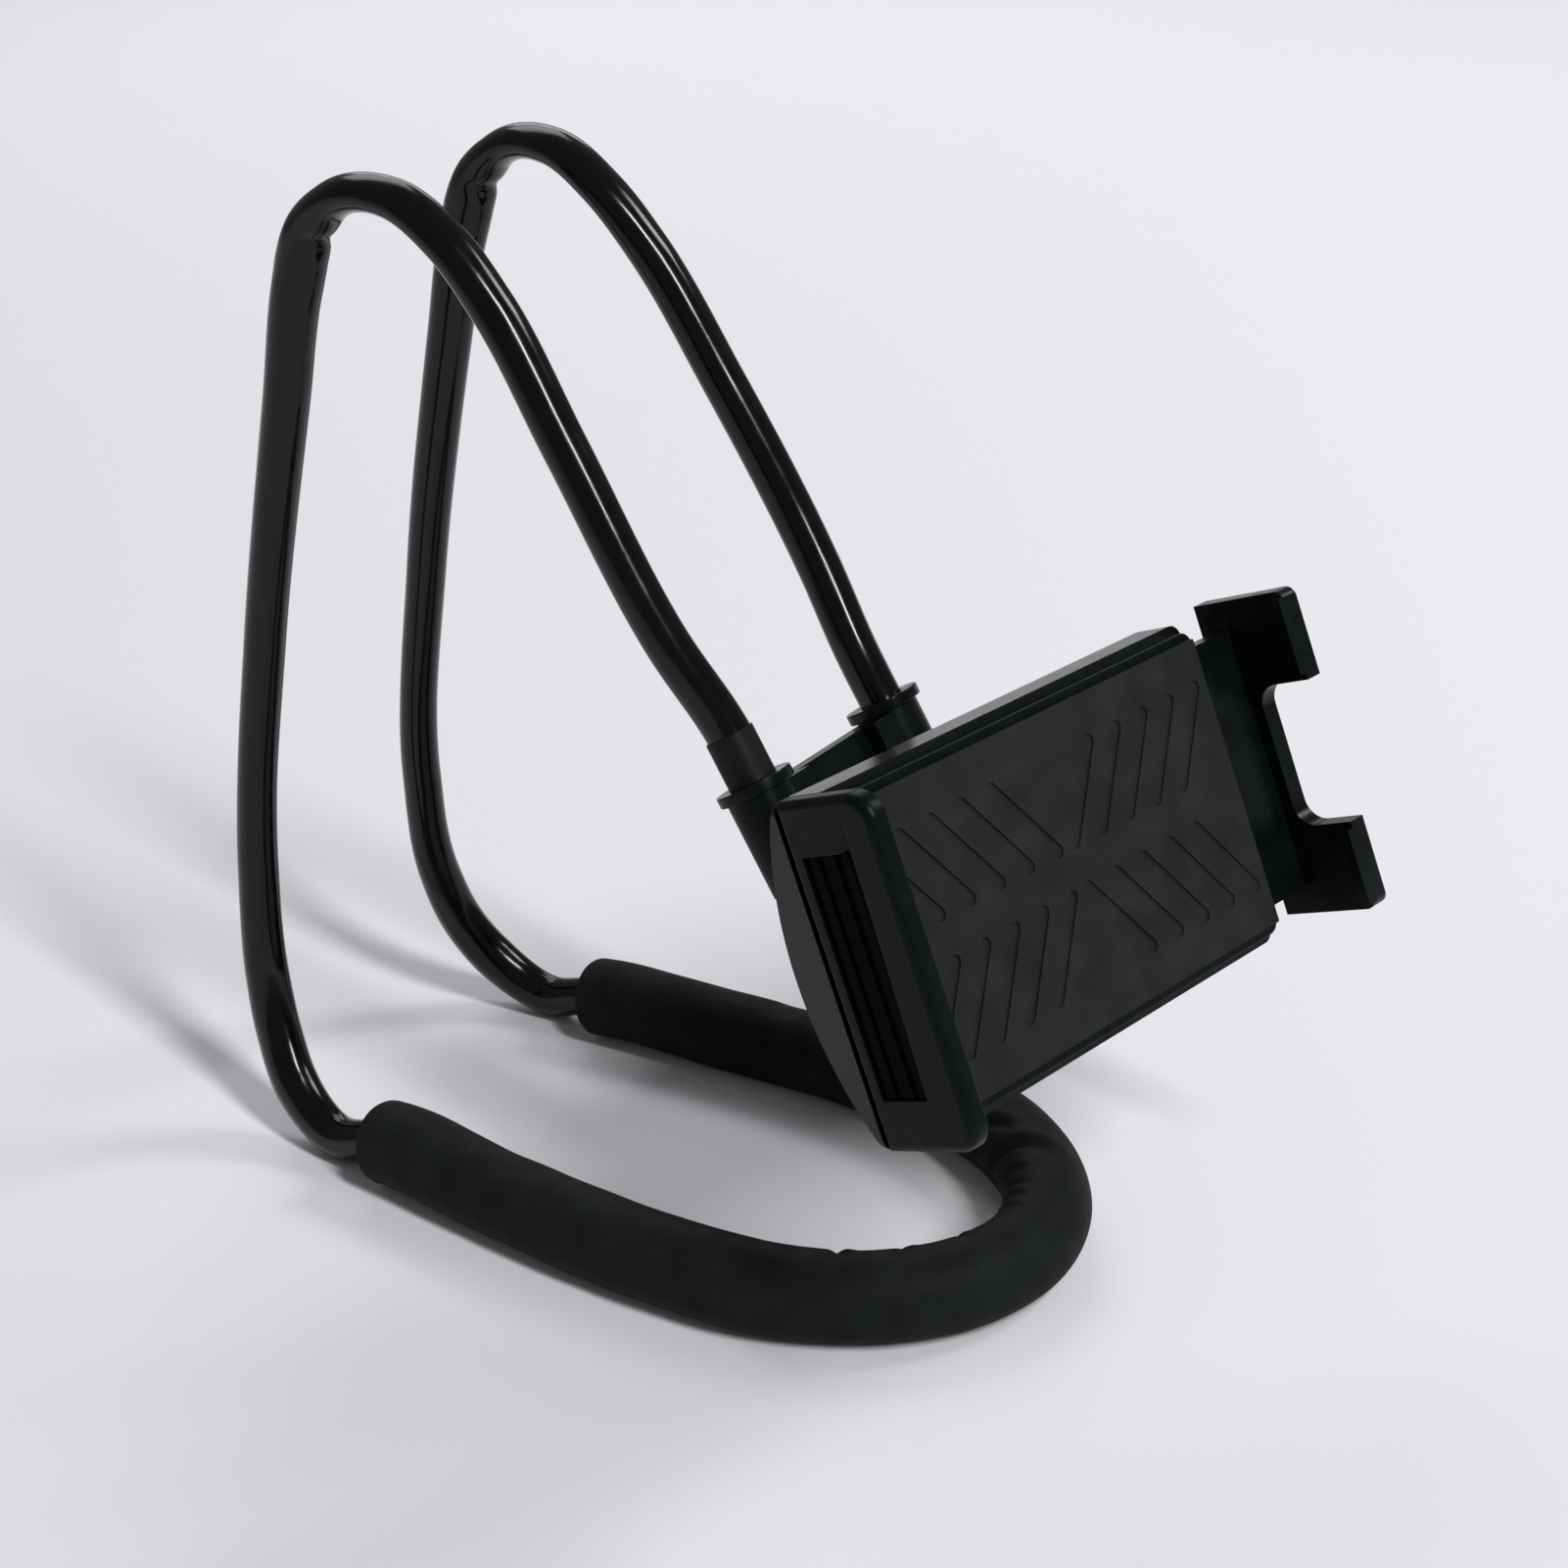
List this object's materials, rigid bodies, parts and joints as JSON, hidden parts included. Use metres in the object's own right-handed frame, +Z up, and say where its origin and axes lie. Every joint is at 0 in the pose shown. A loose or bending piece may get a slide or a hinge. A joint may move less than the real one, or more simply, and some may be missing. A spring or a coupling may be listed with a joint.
{
  "type": "neck phone holder",
  "caption": "Gooseneck neck holder standing as a stand: padded neck loop, two bent arms, bridge, ball joint and a sliding cradle for a phone.",
  "frame": {"origin": "on the floor under the middle of the neck loop's closed end", "axes": "+X to the right, +Y back along the neck loop towards the two arms' back bends, +Z up"},
  "size_m": [0.1425, 0.2612, 0.2472],
  "materials": {
    "wire": "bare",
    "sheath": "gloss",
    "foam": "matte foam",
    "brass": "bare",
    "rubber": "satin",
    "plastic": "satin",
    "screw_steel": "blackened",
    "stud_steel": "polished",
    "nylon": "natural",
    "seat_plastic": "satin",
    "pad_rubber": "matte",
    "gloss_insert": "gloss",
    "spring_steel": "bare",
    "jaw_plastic": "semi-gloss"
  },
  "bodies": {
    "frame": {"core_wire": "wire", "tube_sheath": "sheath", "foam_sleeve": "foam", "wire_ferrules": "brass", "socket_collars": "rubber", "end_sleeve": "rubber", "bridge_body": "plastic", "bridge_cover": "plastic", "bridge_screws": "screw_steel", "ball_stud": "stud_steel", "stud_screw": "screw_steel"},
    "liner": {"ball_liner": "nylon"},
    "seat": {"seat_cup": "seat_plastic", "seat_ring": "seat_plastic"},
    "cradle": {"back_shell": "plastic", "front_cover": "plastic", "grip_pad": "pad_rubber", "slot_insert": "gloss_insert", "fixed_jaw_pad": "pad_rubber", "slide_spring": "spring_steel", "cover_screws": "screw_steel"},
    "lock_nut": {"lock_nut": "plastic"},
    "jaw": {"sliding_jaw": "jaw_plastic", "upper_foot_pad": "pad_rubber", "lower_foot_pad": "pad_rubber"}
  },
  "joints": [
    {"name": "cradle_turn", "type": "hinge", "parent": "frame", "child": "liner", "pos_m": [0, 0.01045, 0.10022], "axis": [0.065, 0.3689, 0.9272], "range_deg": [-12, 30]},
    {"name": "cradle_tilt", "type": "hinge", "parent": "liner", "child": "seat", "pos_m": [0, 0.01045, 0.10022], "axis": [0.9848, -0.1736, 0], "range_deg": [-16, 14]},
    {"name": "cradle_spin", "type": "hinge", "parent": "seat", "child": "cradle", "pos_m": [0, 0.01045, 0.10022], "axis": [-0.161, -0.9131, 0.3746], "continuous": true},
    {"name": "nut_turn", "type": "hinge", "parent": "cradle", "child": "lock_nut", "pos_m": [0, 0.01045, 0.10022], "axis": [-0.161, -0.9131, 0.3746], "range_deg": [-60, 0]},
    {"name": "jaw_slide", "type": "slide", "parent": "cradle", "child": "jaw", "axis": [0.9848, -0.1736, 0], "range_m": [-0.015, 0.03]}
  ]
}
